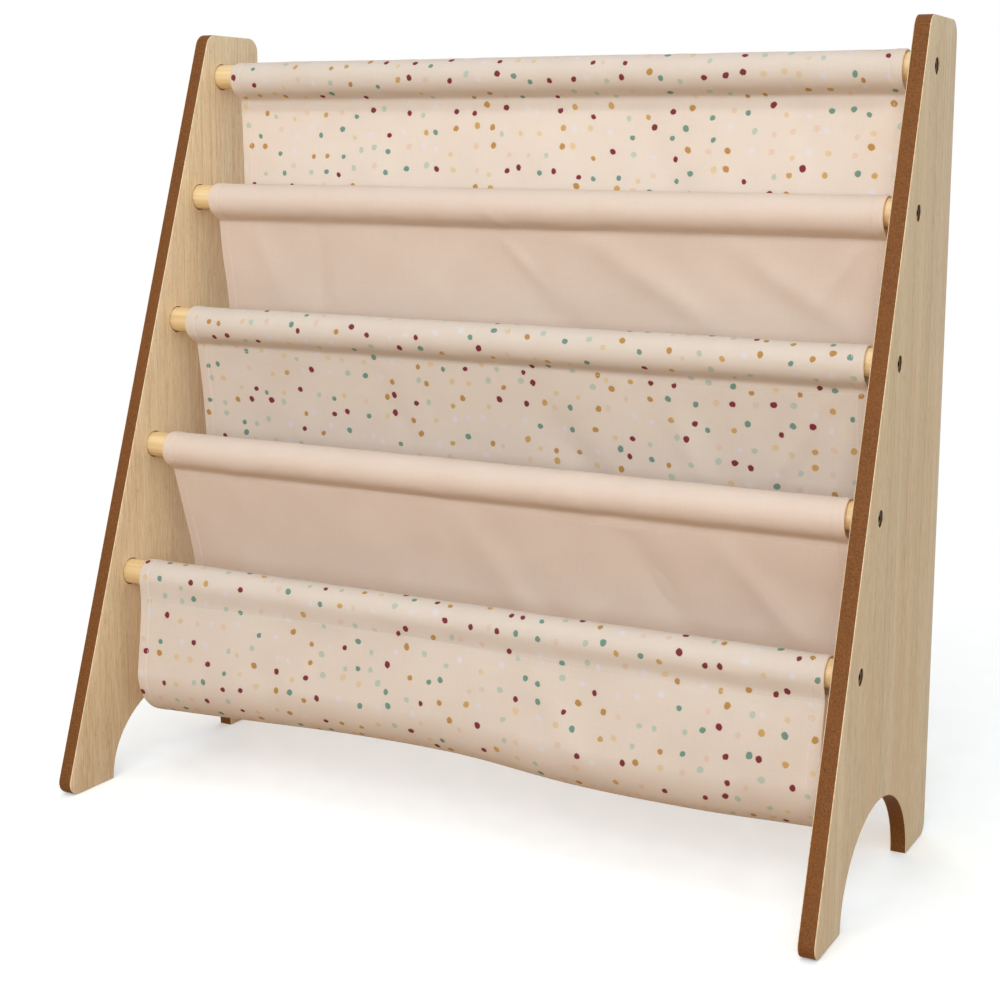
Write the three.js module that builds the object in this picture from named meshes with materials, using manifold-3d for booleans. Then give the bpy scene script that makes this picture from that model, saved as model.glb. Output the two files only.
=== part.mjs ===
// Sling bookshelf for a child's room: two side panels, five dowels and a sling of five cloths.
// Millimetres. X runs along the dowels, Y from front to back, Z up from the floor.
// The origin is on the floor, under the middle of the rack.
import * as THREE from "three";
import { mergeVertices } from "three/addons/utils/BufferGeometryUtils.js";
import Module from "manifold-3d";

const wasm = await Module();
wasm.setup();

// The whole rack
const rackWidth = 620;
const rackDepth = 260;
const rackHeight = 602;

// Side panels: a vertical back edge, a slanted front edge and an arch between two feet
const sideThickness = 12;
const frontSlant = THREE.MathUtils.degToRad(17.9);
const footRadius = 10;
const topRadius = 12;
const frontFootLength = 52;
const rearFootLength = 50;
const archHeight = 65;

// Dowels, counted from the top, set in from the slanted edge and spread evenly along it
const dowelCount = 5;
const dowelDiameter = 20;
const dowelChamfer = 1;
const lowestDowelRise = 184;
const topDowelDrop = 27.4;
const dowelInset = 27.4;
const dowelSeatDepth = 4;
const dowelSeatClearance = 0.75;

// Gap kept wherever one piece rests on or fits in another
const fitGap = 0.3;

// Bolts through the side panels
const panelWeb = 3.5;
const boltHeadDiameter = 11;
const boltHeadHeight = 3;
const boltHeadEdge = 0.6;
const boltShankDiameter = 6;
const boltShankLength = 16;
const boltTipChamfer = 0.8;
const hexKeySize = 4;
const hexSocketDepth = 1.9;
const headClearance = 0.5;

// Threaded inserts in the dowel ends
const insertDiameter = 9.4;
const insertLength = 13;
const insertRidgeHeight = 0.6;
const insertRidgeCount = 2;

// Sling cloths
const clothThickness = 1.4;
const slingSideGap = 14.5;
const slingShift = 5;
const casingSlack = 2.3;
const stemSetback = 2;
const stemDrop = 19;
const stitchBand = 3;
const hemTail = 7;
const layerSpread = 0.8;
const seamAllowance = 6;
const frontCasingDrop = 15;
const frontWallStandoff = 13;

// Pockets, counted from the top, as shares of the step from one dowel to the next: how far
// each back wall leans back from its own dowel and how wide the hanging fold is, both of the
// step back, and how far the fold hangs below the dowel in front, of the step down
const wallLeanShares = [0.093, 0.402, 0.433, 0.803];
const troughWidthShares = [0.525, 0.865, 0.494, 2.317];
const troughDropShare = 1.118;

// Folds of the cloth: soft waves of the walls and of the lower edge
const wallWave = 2.4;
const troughRise = 5;
const wallWaveShares = [
  [0.9, 0.2, -0.3, -0.8, 0, -0.7, 0.2],
  [0.3, -0.5, -1, 0.2, 0.4, -0.6, 0],
  [-0.2, 0.4, -0.7, -0.2, -1, 0.1, 0.3],
  [0, -0.7, -1, -0.3, -0.9, -1, -0.2],
  [0.4, -0.3, 0.5, -0.5, 0.6, -0.2, 0.3],
];
const troughRiseShares = [
  [0.3, -0.4, 0.2, 0.6, -0.5, 0.1, 0.4],
  [-0.2, 0.5, 0.1, -0.6, 0.3, 0.6, -0.1],
  [0.4, 0, -0.6, 0.2, 0.5, -0.4, 0.2],
  [-0.9, -0.1, 0.75, 0.8, -0.6, -0.8, -0.1],
];

// Mesh fineness
const roundSides = 20;
const holeSides = 18;
const smallSides = 12;
const filletSteps = 8;
const archSteps = 30;
const casingSteps = 10;
const wallSteps = 6;
const troughSteps = 4;
const clothStations = 9;

// How far a cut runs past the face that it opens
const cutOverrun = 2;

const veneer = new THREE.MeshStandardMaterial({ color: 0xd3b78c, roughness: 0.6, metalness: 0 });
const pine = new THREE.MeshStandardMaterial({ color: 0xe8cd92, roughness: 0.55, metalness: 0 });
const printedCloth = new THREE.MeshStandardMaterial({ color: 0xf5e3d0, roughness: 0.9, metalness: 0 });
const plainCloth = new THREE.MeshStandardMaterial({ color: 0xf3d5c0, roughness: 0.9, metalness: 0 });
const steel = new THREE.MeshStandardMaterial({ color: 0x77716a, roughness: 0.35, metalness: 1 });
const zinc = new THREE.MeshStandardMaterial({ color: 0xb9a468, roughness: 0.4, metalness: 1 });

const rack = new THREE.Group();

function addPiece(name, geometry, material) {
  const mesh = new THREE.Mesh(geometry, material.clone());
  mesh.name = name;
  rack.add(mesh);
  return mesh;
}

function toSolid(geometry) {
  const bare = geometry.clone();
  bare.deleteAttribute("normal");
  bare.deleteAttribute("uv");
  const merged = mergeVertices(bare);
  const vertProperties = new Float32Array(merged.attributes.position.array);
  const triVerts = new Uint32Array(merged.index.array);
  return new wasm.Manifold(new wasm.Mesh({ numProp: 3, vertProperties, triVerts }));
}

function toGeometry(solid) {
  const mesh = solid.getMesh();
  const geometry = new THREE.BufferGeometry();
  geometry.setAttribute("position", new THREE.BufferAttribute(mesh.vertProperties, 3));
  geometry.setIndex(new THREE.BufferAttribute(mesh.triVerts, 1));
  return geometry;
}

// A geometry whose axis is Y is laid along X
function alongX(geometry) {
  return geometry.rotateZ(-Math.PI / 2);
}

// Places that several pieces share
const frontY = -rackDepth / 2;
const backY = rackDepth / 2;
const innerFaceX = rackWidth / 2 - sideThickness;
const dowelRadius = dowelDiameter / 2;

// The slanted edge and the floor meet ahead of the rounded toe, whose tip is at frontY
const toeHalfAngle = (Math.PI / 2 - frontSlant) / 2;
const edgeFootY = frontY + footRadius - footRadius / Math.tan(toeHalfAngle);
const edgeTopY = edgeFootY + rackHeight * Math.tan(frontSlant);
const upEdge = new THREE.Vector2(Math.sin(frontSlant), Math.cos(frontSlant));
const offEdge = new THREE.Vector2(upEdge.y, -upEdge.x);

// The dowels' even spacing along the slanted edge, and its steps back and down
const edgeLength = rackHeight / upEdge.y;
const dowelPitch = (edgeLength - lowestDowelRise - topDowelDrop) / (dowelCount - 1);
const stepBack = dowelPitch * upEdge.x;
const stepDown = dowelPitch * upEdge.y;

// Dowel axes as points of the Y-Z plane, the top one first
const dowelAxes = [];
for (let i = 0; i < dowelCount; i += 1) {
  const rise = lowestDowelRise + dowelPitch * (dowelCount - 1 - i);
  const axis = new THREE.Vector2(edgeFootY, 0);
  dowelAxes.push(axis.addScaledVector(upEdge, rise).addScaledVector(offEdge, dowelInset));
}

// The side panel's outline in the Y-Z plane
function panelShape() {
  const corners = [
    { at: new THREE.Vector2(edgeFootY, 0), radius: footRadius },
    { at: new THREE.Vector2(edgeTopY, rackHeight), radius: topRadius },
    { at: new THREE.Vector2(backY, rackHeight), radius: topRadius },
    { at: new THREE.Vector2(backY, 0), radius: footRadius },
  ];
  const shape = [];
  corners.forEach((corner, k) => {
    const before = corners[(k + corners.length - 1) % corners.length].at;
    const after = corners[(k + 1) % corners.length].at;
    const toBefore = before.clone().sub(corner.at).normalize();
    const toAfter = after.clone().sub(corner.at).normalize();
    const halfAngle = Math.acos(toBefore.dot(toAfter)) / 2;
    const bisector = toBefore.clone().add(toAfter).normalize();
    const centre = corner.at.clone().addScaledVector(bisector, corner.radius / Math.sin(halfAngle));
    const reach = corner.radius / Math.tan(halfAngle);
    const start = corner.at.clone().addScaledVector(toBefore, reach).sub(centre);
    const end = corner.at.clone().addScaledVector(toAfter, reach).sub(centre);
    const turn = Math.atan2(start.cross(end), start.dot(end));
    for (let step = 0; step <= filletSteps; step += 1) {
      const angle = start.angle() + (turn * step) / filletSteps;
      shape.push(new THREE.Vector2(
        centre.x + corner.radius * Math.cos(angle),
        centre.y + corner.radius * Math.sin(angle),
      ));
    }
  });
  const archRearY = backY - rearFootLength;
  const archFrontY = frontY + frontFootLength;
  const archMiddle = (archRearY + archFrontY) / 2;
  const archHalf = (archRearY - archFrontY) / 2;
  for (let step = 0; step <= archSteps; step += 1) {
    const angle = (Math.PI * step) / archSteps;
    const height = step === archSteps ? 0 : archHeight * Math.sin(angle);
    shape.push(new THREE.Vector2(archMiddle + archHalf * Math.cos(angle), height));
  }
  return new THREE.Shape(shape);
}

// A round cutter along X between two places, on the axis of one dowel
function boreCutter(axis, radius, fromX, toX, sides) {
  const cutter = alongX(new THREE.CylinderGeometry(radius, radius, toX - fromX, sides));
  return toSolid(cutter.translate((fromX + toX) / 2, axis.x, axis.y));
}

const counterboreDepth = sideThickness - panelWeb - dowelSeatDepth;
const counterboreRadius = boltHeadDiameter / 2 + headClearance;
const shankHoleRadius = boltShankDiameter / 2 + fitGap;
const recessRadius = dowelRadius + dowelSeatClearance;

// The right panel; the left one is its mirror image
function rightPanelSolid() {
  const slab = new THREE.ExtrudeGeometry(panelShape(), { depth: sideThickness, bevelEnabled: false });
  slab.rotateX(Math.PI / 2);
  slab.rotateZ(Math.PI / 2);
  slab.translate(innerFaceX, 0, 0);
  let solid = toSolid(slab);
  const outerX = rackWidth / 2;
  for (const axis of dowelAxes) {
    const seat = boreCutter(
      axis, recessRadius, innerFaceX - cutOverrun, innerFaceX + dowelSeatDepth, roundSides,
    );
    const head = boreCutter(
      axis, counterboreRadius, outerX - counterboreDepth, outerX + cutOverrun, holeSides,
    );
    const shank = boreCutter(
      axis, shankHoleRadius, innerFaceX, outerX, smallSides,
    );
    solid = solid.subtract(seat).subtract(head).subtract(shank);
  }
  return solid;
}

function addSidePanels() {
  const right = rightPanelSolid();
  addPiece("side_panel_right", toGeometry(right), veneer);
  addPiece("side_panel_left", toGeometry(right.mirror([1, 0, 0])), veneer);
}

// Places along a dowel's axis, measured from the middle of the rack to the right
const dowelEndX = innerFaceX + dowelSeatDepth - fitGap;
const insertOuterX = dowelEndX - fitGap;
const insertInnerX = insertOuterX - insertLength;
const headSeatX = rackWidth / 2 - counterboreDepth + fitGap;
const boltTipX = headSeatX - boltShankLength;
const dowelBoreX = Math.min(insertInnerX, boltTipX) - fitGap;
const dowelBoreRadius = insertDiameter / 2 + fitGap;

function latheAlongX(profile, sides) {
  const points = profile.map(([radius, x]) => new THREE.Vector2(radius, x));
  return alongX(new THREE.LatheGeometry(points, sides));
}

function addDowel(index) {
  const edge = dowelRadius - dowelChamfer;
  const profile = [
    [0, -dowelBoreX],
    [dowelBoreRadius, -dowelBoreX],
    [dowelBoreRadius, -dowelEndX],
    [edge, -dowelEndX],
    [dowelRadius, dowelChamfer - dowelEndX],
    [dowelRadius, dowelEndX - dowelChamfer],
    [edge, dowelEndX],
    [dowelBoreRadius, dowelEndX],
    [dowelBoreRadius, dowelBoreX],
    [0, dowelBoreX],
  ];
  const dowel = addPiece(`dowel_${index + 1}`, latheAlongX(profile, roundSides), pine);
  dowel.position.set(0, dowelAxes[index].x, dowelAxes[index].y);
}

// The bolt points inwards along X, its head in the panel's counterbore
function boltGeometry() {
  const shank = boltShankDiameter / 2;
  const head = boltHeadDiameter / 2;
  const headTopX = headSeatX + boltHeadHeight;
  const profile = [
    [0, boltTipX],
    [shank - boltTipChamfer, boltTipX],
    [shank, boltTipX + boltTipChamfer],
    [shank, headSeatX],
    [head, headSeatX],
    [head, headTopX - boltHeadEdge],
    [head - boltHeadEdge, headTopX],
    [0, headTopX],
  ];
  const body = toSolid(latheAlongX(profile, smallSides));
  const socketDepth = hexSocketDepth + cutOverrun;
  const socketRadius = hexKeySize / Math.sqrt(3);
  const socket = alongX(new THREE.CylinderGeometry(socketRadius, socketRadius, socketDepth, 6));
  socket.translate(headTopX + cutOverrun - socketDepth / 2, 0, 0);
  return toGeometry(body.subtract(toSolid(socket)));
}

// The insert is a sleeve with a few wood-gripping ridges
function insertGeometry() {
  const bore = boltShankDiameter / 2 + fitGap;
  const crest = insertDiameter / 2;
  const root = crest - insertRidgeHeight;
  const profile = [
    [bore, insertInnerX],
    [root, insertInnerX],
  ];
  const ridgePitch = insertLength / (insertRidgeCount + 1);
  for (let ridge = 1; ridge <= insertRidgeCount; ridge += 1) {
    const ridgeX = insertInnerX + ridgePitch * ridge;
    profile.push([root, ridgeX - insertRidgeHeight]);
    profile.push([crest, ridgeX]);
    profile.push([root, ridgeX + insertRidgeHeight]);
  }
  profile.push([crest, insertOuterX - insertRidgeHeight]);
  profile.push([crest, insertOuterX]);
  profile.push([bore, insertOuterX]);
  profile.push([bore, insertInnerX]);
  return latheAlongX(profile, smallSides);
}

function addFastenerPair(index) {
  const axis = dowelAxes[index];
  for (const side of ["right", "left"]) {
    const bolt = addPiece(`bolt_${side}_${index + 1}`, boltGeometry(), steel);
    const insert = addPiece(`insert_${side}_${index + 1}`, insertGeometry(), zinc);
    for (const piece of [bolt, insert]) {
      piece.position.set(0, axis.x, axis.y);
      piece.rotation.z = side === "left" ? Math.PI : 0;
    }
  }
}

// Folds: a smooth curve through a row of shares, read at a place from 0 to 1 along X
function shareAt(shares, place) {
  const points = shares.map((share, k) => new THREE.Vector2(k, share));
  return new THREE.SplineCurve(points).getPoint(place).y;
}

// The hanging fold of one pocket, as the places of its U in the Y-Z plane
function troughOf(pocket, place) {
  const frontDowel = dowelAxes[pocket + 1];
  const radius = (stepBack * troughWidthShares[pocket]) / 2;
  const rise = troughRise * shareAt(troughRiseShares[pocket], place);
  const backWallY = dowelAxes[pocket].x + stepBack * wallLeanShares[pocket];
  const bottomZ = frontDowel.y - stepDown * troughDropShare + rise;
  return { radius, backWallY, middleY: backWallY - radius, bottomZ, centreZ: bottomZ + radius };
}

// Middle line of the round part and of the seam allowance, which turns up into the pocket;
// way is 1 on the back wall's side and -1 on the front wall's
function troughLine(pocket, place, way) {
  const trough = troughOf(pocket, place);
  const finY = trough.middleY + way * (clothThickness + fitGap) / 2;
  const lastAngle = Math.acos((way * (finY - trough.middleY)) / trough.radius);
  const line = [];
  for (let step = 0; step <= troughSteps; step += 1) {
    const angle = (lastAngle * step) / troughSteps;
    const y = trough.middleY + way * trough.radius * Math.cos(angle);
    line.push(new THREE.Vector2(y, trough.centreZ - trough.radius * Math.sin(angle)));
  }
  line.push(new THREE.Vector2(finY, trough.bottomZ + seamAllowance));
  return line;
}

// Middle line of a wall from its stem to its trough, moved forward or back by its wave
function wallLine(from, guide, to, wave) {
  const curve = new THREE.SplineCurve([from, ...guide, to]);
  const line = [];
  for (let step = 0; step < wallSteps; step += 1) {
    const place = step / wallSteps;
    const point = curve.getPoint(place);
    point.x += wave * Math.sin(Math.PI * place);
    line.push(point);
  }
  return line;
}

// Where the two layers of a casing are sewn together
function stemOf(index) {
  const axis = dowelAxes[index];
  if (index === dowelCount - 1) {
    return new THREE.Vector2(axis.x - frontWallStandoff, axis.y - frontCasingDrop);
  }
  return new THREE.Vector2(axis.x + stemSetback, axis.y - stemDrop);
}

function crotchOf(index) {
  const stem = stemOf(index);
  return new THREE.Vector2(stem.x, stem.y - stitchBand);
}

// Back wall of a pocket: the front layer of the cloth on the dowel above it
function backWallLine(pocket, place) {
  const wave = wallWave * shareAt(wallWaveShares[pocket], place);
  const trough = troughLine(pocket, place, 1);
  const crotch = crotchOf(pocket);
  const from = new THREE.Vector2(crotch.x - clothThickness / 2, crotch.y);
  const knee = new THREE.Vector2(trough[0].x, dowelAxes[pocket + 1].y);
  return [...wallLine(from, [knee], trough[0], wave), ...trough];
}

// Front wall of a pocket: the rear layer of the cloth on the dowel in front of it
function frontWallLine(pocket, place) {
  const trough = troughLine(pocket, place, -1);
  const crotch = crotchOf(pocket + 1);
  const from = new THREE.Vector2(crotch.x + clothThickness / 2, crotch.y);
  const spread = from.clone().lerp(trough[0], 1 / wallSteps);
  spread.x += layerSpread;
  return [...wallLine(from, [spread], trough[0], 0), ...trough];
}

// Front wall of the lowest pocket, which shows as the front of the rack
function lowestFrontLine(place) {
  const pocket = dowelCount - 2;
  const wave = wallWave * shareAt(wallWaveShares[pocket + 1], place);
  const trough = troughLine(pocket, place, -1);
  const crotch = crotchOf(pocket + 1);
  const from = new THREE.Vector2(crotch.x - clothThickness / 2, crotch.y);
  return [...wallLine(from, [], trough[0], wave), ...trough];
}

// The short turned-in end of a casing, behind the layer it is sewn to
function hemLine(index) {
  const crotch = crotchOf(index);
  const from = new THREE.Vector2(crotch.x + clothThickness / 2, crotch.y);
  return [from, new THREE.Vector2(from.x + layerSpread, from.y - hemTail)];
}

// The edge of a layer, half a thickness to one side of its middle line; side is 1 towards the back
function layerEdge(line, side) {
  return line.map((point, k) => {
    const before = line[Math.max(k - 1, 0)];
    const after = line[Math.min(k + 1, line.length - 1)];
    const along = point.clone().sub(before).normalize();
    const onward = after.clone().sub(point).normalize();
    if (k === 0) {
      along.copy(onward);
    }
    if (k === line.length - 1) {
      onward.copy(along);
    }
    const normal = new THREE.Vector2(-along.y - onward.y, along.x + onward.x).normalize();
    const mitre = normal.dot(new THREE.Vector2(-onward.y, onward.x));
    return point.clone().addScaledVector(normal, (side * clothThickness) / 2 / mitre);
  });
}

// Points round a casing, from where the front tangent leaves it over the top to the back tangent;
// the flats between the points touch the radius, so the casing keeps clear of its dowel
function casingArc(centre, radius, frontStem, backStem) {
  const toFront = frontStem.clone().sub(centre);
  const toBack = backStem.clone().sub(centre);
  const start = toFront.angle() - Math.acos(radius / toFront.length());
  const end = toBack.angle() + Math.acos(radius / toBack.length()) - 2 * Math.PI;
  const stepAngle = (end - start) / casingSteps;
  const reach = radius / Math.cos(stepAngle / 2);
  const arc = [];
  for (let step = 0; step <= casingSteps; step += 1) {
    const angle = start + stepAngle * step;
    arc.push(new THREE.Vector2(
      centre.x + reach * Math.cos(angle),
      centre.y + reach * Math.sin(angle),
    ));
  }
  return arc;
}

// Outline and casing hole of one cloth where the sling is cut at a place from 0 to 1 along X
function clothProfile(index, place) {
  const lowest = dowelCount - 1;
  const frontLayer = index === lowest ? lowestFrontLine(place) : backWallLine(index, place);
  const isPocketFront = index > 0 && index < lowest;
  const rearLayer = isPocketFront ? frontWallLine(index - 1, place) : hemLine(index);
  const axis = dowelAxes[index];
  const centre = new THREE.Vector2(axis.x, axis.y - casingSlack);
  const innerRadius = dowelRadius + fitGap + casingSlack;
  const outerRadius = innerRadius + clothThickness;
  const stem = stemOf(index);
  const crotch = crotchOf(index);
  const frontStem = new THREE.Vector2(stem.x - clothThickness, stem.y);
  const backStem = new THREE.Vector2(stem.x + clothThickness, stem.y);
  const outline = [
    ...layerEdge(frontLayer, -1).reverse(),
    frontStem,
    ...casingArc(centre, outerRadius, frontStem, backStem),
    backStem,
    ...layerEdge(rearLayer, 1),
    ...layerEdge(rearLayer, -1).slice(1).reverse(),
    crotch,
    ...layerEdge(frontLayer, 1).slice(1),
  ];
  const tip = centre.clone().sub(stem).setLength(clothThickness).add(stem);
  const hole = [tip, ...casingArc(centre, innerRadius, tip, tip)].reverse();
  return { outline, hole };
}

// Each cloth is a straight strip, its points then moved to the section at their own place along X
function clothGeometry(index) {
  const slingWidth = 2 * (innerFaceX - slingSideGap);
  const flat = clothProfile(index, 0);
  const shape = new THREE.Shape(flat.outline);
  shape.holes.push(new THREE.Path(flat.hole));
  const strip = new THREE.ExtrudeGeometry(shape, {
    depth: slingWidth, steps: clothStations, bevelEnabled: false,
  });
  const flatPoints = [...flat.outline, ...flat.hole];
  const sections = [];
  for (let station = 0; station <= clothStations; station += 1) {
    const section = clothProfile(index, station / clothStations);
    sections.push([...section.outline, ...section.hole]);
  }
  const position = strip.attributes.position;
  const corner = new THREE.Vector2();
  for (let v = 0; v < position.count; v += 1) {
    corner.set(position.getX(v), position.getY(v));
    const along = position.getZ(v);
    const distances = flatPoints.map((point) => point.distanceTo(corner));
    const nearest = distances.indexOf(Math.min(...distances));
    const section = sections[Math.round((along / slingWidth) * clothStations)];
    const x = along - slingWidth / 2 + slingShift;
    position.setXYZ(v, x, section[nearest].x, section[nearest].y);
  }
  return strip;
}

addSidePanels();
for (let i = 0; i < dowelCount; i += 1) {
  addDowel(i);
  addFastenerPair(i);
  const isPrinted = i % 2 === 0;
  addPiece(`sling_cloth_${i + 1}`, clothGeometry(i), isPrinted ? printedCloth : plainCloth);
}

export default rack;
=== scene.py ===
"""The looks of a sling bookshelf: side panels, dowels, bolts and a sling of five cloths.

Metres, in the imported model's frame: X runs along the dowels, Y from front to back, Z up.
"""
import math

import bmesh
import bpy
import numpy as np
from mathutils import Matrix, Vector, noise


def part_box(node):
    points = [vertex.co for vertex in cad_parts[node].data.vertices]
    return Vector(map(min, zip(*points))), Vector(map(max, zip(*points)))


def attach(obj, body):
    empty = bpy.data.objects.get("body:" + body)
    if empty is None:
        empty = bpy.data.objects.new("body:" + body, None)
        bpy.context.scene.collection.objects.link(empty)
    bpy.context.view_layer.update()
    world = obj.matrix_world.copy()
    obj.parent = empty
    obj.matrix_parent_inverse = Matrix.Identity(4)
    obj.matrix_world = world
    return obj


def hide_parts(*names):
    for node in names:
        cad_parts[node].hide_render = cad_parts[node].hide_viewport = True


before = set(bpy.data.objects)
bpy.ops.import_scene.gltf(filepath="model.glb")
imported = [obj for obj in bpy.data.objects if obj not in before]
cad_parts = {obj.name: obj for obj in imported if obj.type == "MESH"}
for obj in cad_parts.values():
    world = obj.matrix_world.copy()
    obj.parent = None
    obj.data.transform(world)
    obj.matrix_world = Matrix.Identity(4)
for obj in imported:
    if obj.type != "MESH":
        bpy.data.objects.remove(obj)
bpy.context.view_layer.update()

MM = 0.001
WHITE = (1, 1, 1, 1)

# Side panels
FRONT_SLANT = math.radians(17.9)
FOOT_RADIUS = 10 * MM
TOP_RADIUS = 12 * MM
FRONT_FOOT_LENGTH = 52 * MM
REAR_FOOT_LENGTH = 50 * MM
ARCH_HEIGHT = 65 * MM
ARRIS = 0.8 * MM
VENEER = 0.6 * MM
VENEER_EDGE = 0.1 * MM
CUT_OVERRUN = 2 * MM

# Dowels, and the holes that take them and their bolts
DOWEL_RADIUS = 10 * MM
DOWEL_CHAMFER = 1 * MM
DOWEL_BORE_RADIUS = 5 * MM
SEAT_RADIUS = 10.75 * MM
SEAT_DEPTH = 4 * MM
SHANK_HOLE_RADIUS = 3.3 * MM
COUNTERBORE_RADIUS = 6 * MM
COUNTERBORE_DEPTH = 4.5 * MM

# Bolts
HEAD_RADIUS = 5.5 * MM
HEAD_HEIGHT = 3 * MM
HEAD_ROUNDING = 0.9 * MM
SHANK_RADIUS = 3 * MM
SHANK_LENGTH = 16 * MM
HEX_RADIUS = 2.31 * MM
HEX_DEPTH = 1.9 * MM
HEX_SIDES = 6
THREAD_PITCH = 1 * MM
THREAD_DEPTH = 0.45 * MM
FIT_GAP = 0.3 * MM

# Fineness of the boards, dowels and bolts
ARRIS_STEPS = 3
FILLET_STEPS = 14
ARCH_STEPS = 72
ROUND_SIDES = 96
BOLT_SIDES = 48
ROUNDING_STEPS = 5

# Edges that turn by more degrees than this stay sharp
SHARP_ANGLES = {"panel": 28, "dowel": 30, "bolt": 35, "cloth": 50, "thread": 60}

# Cloth: one layer, two that are sewn together, the hem at each side and the thread
CLOTH = 0.8 * MM
LAYER_GAP = 0.1 * MM
LAYER_OFFSET = (CLOTH + LAYER_GAP) / 2
HEM_WIDTH = 10 * MM
HEM_STITCH_INSET = 8 * MM
HEM_FADE = 0.5 * MM
HEM_EXTRA_SHARE = 0.9
STITCH_PITCH = 3.3 * MM
STITCH_LENGTH = 2.5 * MM
THREAD_RADIUS = 0.2 * MM
THREAD_SIDES = 5

# A stitch's rings: the share of its length, then the lift and size as shares of the radius
STITCH_RINGS = [(0, -0.9, 0.5), (0.18, 0.35, 1), (0.82, 0.35, 1), (1, -0.9, 0.5)]

# Casings round the dowels
CASING_RADIUS = 13.6 * MM
CASING_SLACK = 2.3 * MM
STEM_SETBACK = 2 * MM
STEM_DROP = 19 * MM
STITCH_BAND = 3 * MM
HEM_TAIL = 7 * MM
SEAM_ALLOWANCE = 6 * MM

# The rear layer stands off the front one from the first of so many parts of its length on
LAYER_SPREAD = 0.8 * MM
SPREAD_PARTS = 6

# Lowest cloth: its stitching draws in, most at the right, and the wall swells below it
FRONT_CASING_DROP = 15 * MM
FRONT_WALL_STANDOFF = 13 * MM
FRONT_SEAM_SETBACK = 4 * MM
SETBACK_LEFT_SHARE = 0.35
FRONT_BULGE = 0.5 * MM
FRONT_BULGE_DROP = 24 * MM

# Pockets from the top, as shares of the step from one dowel to the next
WALL_LEAN_SHARES = [0.093, 0.402, 0.433, 0.803]
TROUGH_WIDTH_SHARES = [0.525, 0.865, 0.494, 2.317]
TROUGH_DROP_SHARE = 1.118

# Slow waves of each cloth's wall and of each pocket's bottom, as shares from left to right
WALL_WAVE = 2.4 * MM
WALL_WAVE_SHARES = [
    [0.9, 0.2, -0.3, -0.8, 0, -0.7, 0.2],
    [0.3, -0.5, -1, 0.2, 0.4, -0.6, 0],
    [-0.2, 0.4, -0.7, -0.2, -1, 0.1, 0.3],
    [0, -0.7, -1, -0.3, -0.9, -1, -0.2],
    [0.4, -0.3, 0.5, -0.5, 0.6, -0.2, 0.3],
]
TROUGH_RISE = 5 * MM
TROUGH_RISE_SHARES = [
    [0.3, -0.4, 0.2, 0.6, -0.5, 0.1, 0.4],
    [-0.2, 0.5, 0.1, -0.6, 0.3, 0.6, -0.1],
    [0.4, 0, -0.6, 0.2, 0.5, -0.4, 0.2],
    [-0.9, -0.1, 0.75, 0.8, -0.6, -0.8, -0.1],
]

# Soft creases on each cloth, in millimetres: place across it, drop below the front stitching
# (above it where negative), lean from upright in degrees, half length, half width and height
CREASES = [
    [(2, 55, 2, 60, 3, 0.7), (-150, 70, 12, 45, 14, 1.9), (120, 80, -25, 60, 16, -2.3),
     (215, 60, -20, 50, 10, 2.0), (-60, 45, 35, 40, 12, -1.6), (262, 30, 30, 34, 5, 1.4)],
    [(4, 22, -42, 26, 3, 2.2), (-12, -16, -40, 16, 3, 1.4), (-182, 50, 4, 46, 8, -2.2),
     (112, 40, -57, 62, 11, 3.2), (-75, 72, 28, 42, 11, 1.9), (40, 74, -50, 50, 13, -1.9),
     (218, 38, -57, 44, 9, 2.6), (255, 26, 35, 36, 5, 1.6), (-235, 30, -20, 36, 9, 1.7)],
    [(-8, 60, 2, 60, 3, 0.7), (-175, 62, 25, 48, 12, 2.2), (70, 70, -35, 56, 13, -2.5),
     (160, 58, -20, 50, 10, 2.3), (240, 34, 30, 40, 6, 1.6), (-90, 40, -30, 36, 9, -1.4)],
    [(20, 62, -35, 60, 14, 2.6), (-140, 66, 22, 52, 12, -2.3), (150, 52, -30, 58, 12, -2.6),
     (232, 52, -40, 50, 9, 2.5), (-222, 44, 10, 44, 9, 1.7), (85, 86, 40, 40, 10, 1.9)],
    [(-30, 78, 30, 44, 12, 2.0), (118, 70, -35, 56, 12, 2.8), (185, 92, 28, 46, 10, -2.2),
     (-150, 74, -18, 48, 12, -1.7), (246, 60, -15, 56, 8, 1.9), (40, 100, -50, 40, 8, 1.4)],
]
CREASE_WANDER = 0.35

# Folds: noise turns per metre across, skew, turns along, seed, and height in millimetres
WALL_FOLDS = [(7, 0, 9, 3, 2.1), (19, 14, 12, 5, 0.95), (60, -25, 50, 9, 0.16)]
REAR_FOLDS = [(12, 0, 12, 12, 0.6)]
CASING_FOLDS = [(16, 0, 30, 0, 0.44), (55, 40, 45, 0, 0.32)]
CASING_LOWEST = -0.28
CASING_LIFT = 0.08
SEED_STEP = 7.3

# Where folds fade in: away from the stitching, and away from the layer's lower end
CASING_FADE = (4 * MM, 16 * MM)
WALL_FADES = [(4 * MM, 45 * MM), (35 * MM, 115 * MM)]
REAR_FADES = [(6 * MM, 50 * MM), (12 * MM, 40 * MM)]
CREASE_FADES = [(1 * MM, 9 * MM), (30 * MM, 75 * MM)]

# Puckers at a casing's stitching: noise turns per metre, level in the noise and share
PUCKERS = [(150, 1.7, 0.6), (60, 4.1, 0.5)]
PUCKER_HEIGHT = 0.42 * MM
PUCKER_REACH = 6 * MM
PUCKER_HELD_REACH = 2 * MM
PUCKER_HELD_SHARE = 0.35
GROOVE_DEPTH = 0.16 * MM
GROOVE_WIDTH = 0.9 * MM

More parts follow.
